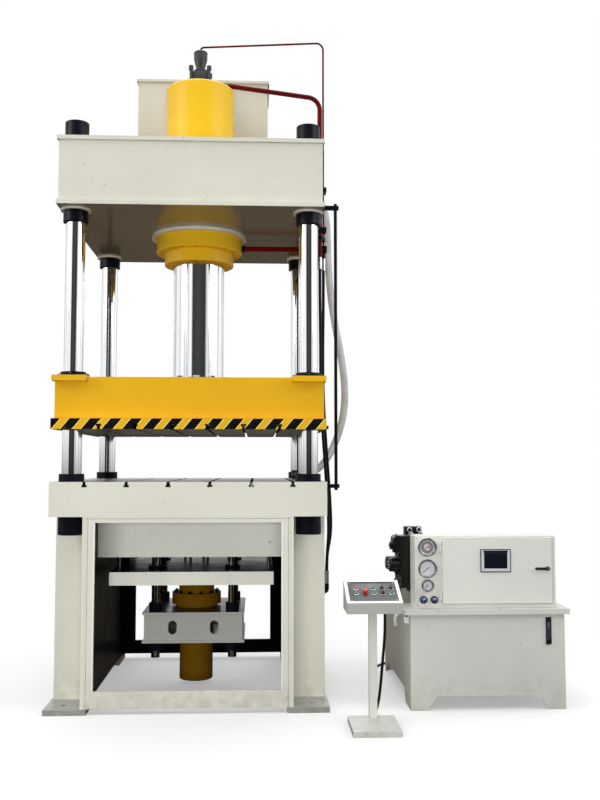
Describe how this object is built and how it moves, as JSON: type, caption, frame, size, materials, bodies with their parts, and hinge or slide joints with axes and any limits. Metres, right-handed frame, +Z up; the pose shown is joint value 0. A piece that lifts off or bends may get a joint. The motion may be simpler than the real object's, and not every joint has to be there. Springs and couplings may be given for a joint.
{
  "type": "hydraulic press",
  "caption": "Four-column hydraulic press with a moving slide, T-slotted bed, bottom ejector, overhead cylinder and oil tank, free-standing control console and power unit.",
  "frame": {"origin": "on the floor at the centre of the press base's anchor holes, under the cylinder's axis", "axes": "+Z up along the ram, +X towards the console and power unit, +Y from the front to the back"},
  "size_m": [3.775, 2.601, 5.4231],
  "materials": {
    "cream_paint": "semi-gloss off-white paint",
    "bed_paint": "semi-gloss off-white paint, machined top",
    "yellow_paint": "gloss yellow paint",
    "platen_paint": "semi-gloss yellow paint",
    "mustard_paint": "gloss mustard paint",
    "chrome_rod": "ground and hard-chromed",
    "black_nut": "gloss black-blue enamel",
    "bronze": "turned bronze",
    "dark_red_paint": "gloss dark red paint",
    "grey_paint": "satin grey paint",
    "unit_paint": "fine-textured off-white paint",
    "motor_paint": "satin blue-grey paint",
    "silver": "bright plated steel",
    "black_rubber": "smooth hose cover",
    "grey_rubber": "smooth grey hose",
    "white_plastic": "satin",
    "black_plastic": "satin",
    "red_plastic": "gloss",
    "green_plastic": "gloss",
    "blue_plastic": "gloss"
  },
  "bodies": {
    "press": {"foot_plates": "cream_paint", "portals": "cream_paint", "side_walls": "cream_paint", "leg_boxes": "cream_paint", "bed_beam": "cream_paint", "bed": "bed_paint", "columns": "chrome_rod", "lock_nuts": "black_nut", "crosshead": "cream_paint", "main_cylinder": "yellow_paint", "gland": "yellow_paint", "fill_valve": "yellow_paint", "top_tank": "cream_paint", "top_tank_lid": "cream_paint", "oil_pipes": "dark_red_paint", "pipe_fittings": "black_nut", "pressure_hose": "black_rubber", "return_hose": "black_rubber", "hose_ends": "silver", "drain_hose": "grey_rubber", "switch_rod": "black_nut", "ejector_box": "grey_paint", "tie_rods": "chrome_rod", "ejector_cylinder": "mustard_paint", "console_stand": "unit_paint", "console_box": "unit_paint", "control_bezels": "silver", "console_cable": "black_rubber", "oil_tank": "unit_paint", "oil_tank_lid": "unit_paint", "cabinet": "unit_paint", "gauge_cases": "silver", "level_gauge": "silver", "valve_manifold": "grey_paint", "motor": "motor_paint", "pump": "grey_paint"},
    "slide": {"slide": "platen_paint", "guide_bushes": "bronze", "wiper_rings": "black_nut", "ram": "chrome_rod"},
    "ejector": {"ejector_plate": "grey_paint", "ejector_ram": "chrome_rod", "ejector_pins": "chrome_rod"},
    "door": {"cabinet_door": "unit_paint", "touch_screen": "white_plastic"},
    "latch": {"door_latch": "silver"},
    "stop_button": {"stop_button": "red_plastic"},
    "upper_needle": {"upper_needle": "red_plastic"},
    "middle_needle": {"middle_needle": "black_plastic"},
    "lower_needle": {"lower_needle": "black_plastic"},
    "left_gauge_knob": {"left_gauge_knob": "blue_plastic"},
    "right_gauge_knob": {"right_gauge_knob": "blue_plastic"},
    "green_button_1": {"green_button_1": "green_plastic"},
    "green_button_2": {"green_button_2": "green_plastic"},
    "green_button_3": {"green_button_3": "green_plastic"},
    "green_button_4": {"green_button_4": "green_plastic"},
    "green_button_5": {"green_button_5": "green_plastic"},
    "selector_1": {"selector_1": "black_plastic"},
    "selector_2": {"selector_2": "black_plastic"},
    "selector_3": {"selector_3": "black_plastic"}
  },
  "joints": [
    {"name": "slide_travel", "type": "slide", "parent": "press", "child": "slide", "axis": [0, 0, 1], "range_m": [-0.25, 0.8]},
    {"name": "ejector_travel", "type": "slide", "parent": "press", "child": "ejector", "axis": [0, 0, 1], "range_m": [0, 0.09]},
    {"name": "door_hinge", "type": "hinge", "parent": "press", "child": "door", "pos_m": [1.83, -0.951, 0.986], "axis": [0, 0, -1], "range_deg": [0, 105]},
    {"name": "latch_turn", "type": "hinge", "parent": "door", "child": "latch", "pos_m": [2.616, -0.961, 1.006], "axis": [0, 1, 0], "range_deg": [0, 90]},
    {"name": "upper_needle_turn", "type": "hinge", "parent": "press", "child": "upper_needle", "pos_m": [1.729, -0.97, 1.165], "axis": [0, 1, 0], "range_deg": [-5, 265]},
    {"name": "middle_needle_turn", "type": "hinge", "parent": "press", "child": "middle_needle", "pos_m": [1.729, -0.97, 1.011], "axis": [0, 1, 0], "range_deg": [-5, 265]},
    {"name": "lower_needle_turn", "type": "hinge", "parent": "press", "child": "lower_needle", "pos_m": [1.729, -0.97, 0.89], "axis": [0, 1, 0], "range_deg": [0, 270]},
    {"name": "left_gauge_knob_turn", "type": "hinge", "parent": "press", "child": "left_gauge_knob", "pos_m": [1.696, -0.97, 0.788], "axis": [0, 1, 0], "range_deg": [0, 360]},
    {"name": "right_gauge_knob_turn", "type": "hinge", "parent": "press", "child": "right_gauge_knob", "pos_m": [1.774, -0.97, 0.788], "axis": [0, 1, 0], "range_deg": [0, 360]},
    {"name": "stop_button_press", "type": "slide", "parent": "press", "child": "stop_button", "axis": [0, 0.3976, -0.9176], "range_m": [0, 0.005], "stiffness_N_per_m": 800, "springref_m": -0.005},
    {"name": "green_button_1_press", "type": "slide", "parent": "press", "child": "green_button_1", "axis": [0, 0.3976, -0.9176], "range_m": [0, 0.005], "stiffness_N_per_m": 500, "springref_m": -0.005},
    {"name": "green_button_2_press", "type": "slide", "parent": "press", "child": "green_button_2", "axis": [0, 0.3976, -0.9176], "range_m": [0, 0.005], "stiffness_N_per_m": 500, "springref_m": -0.005},
    {"name": "green_button_3_press", "type": "slide", "parent": "press", "child": "green_button_3", "axis": [0, 0.3976, -0.9176], "range_m": [0, 0.005], "stiffness_N_per_m": 500, "springref_m": -0.005},
    {"name": "green_button_4_press", "type": "slide", "parent": "press", "child": "green_button_4", "axis": [0, 0.3976, -0.9176], "range_m": [0, 0.005], "stiffness_N_per_m": 500, "springref_m": -0.005},
    {"name": "green_button_5_press", "type": "slide", "parent": "press", "child": "green_button_5", "axis": [0, 0.3976, -0.9176], "range_m": [0, 0.005], "stiffness_N_per_m": 500, "springref_m": -0.005},
    {"name": "selector_1_turn", "type": "hinge", "parent": "press", "child": "selector_1", "pos_m": [1.345, -1.39226, 0.88942], "axis": [0, -0.3976, 0.9176], "range_deg": [-45, 45]},
    {"name": "selector_2_turn", "type": "hinge", "parent": "press", "child": "selector_2", "pos_m": [1.345, -1.33537, 0.91407], "axis": [0, -0.3976, 0.9176], "range_deg": [-45, 45]},
    {"name": "selector_3_turn", "type": "hinge", "parent": "press", "child": "selector_3", "pos_m": [1.405, -1.33537, 0.91407], "axis": [0, -0.3976, 0.9176], "range_deg": [-45, 45]}
  ]
}
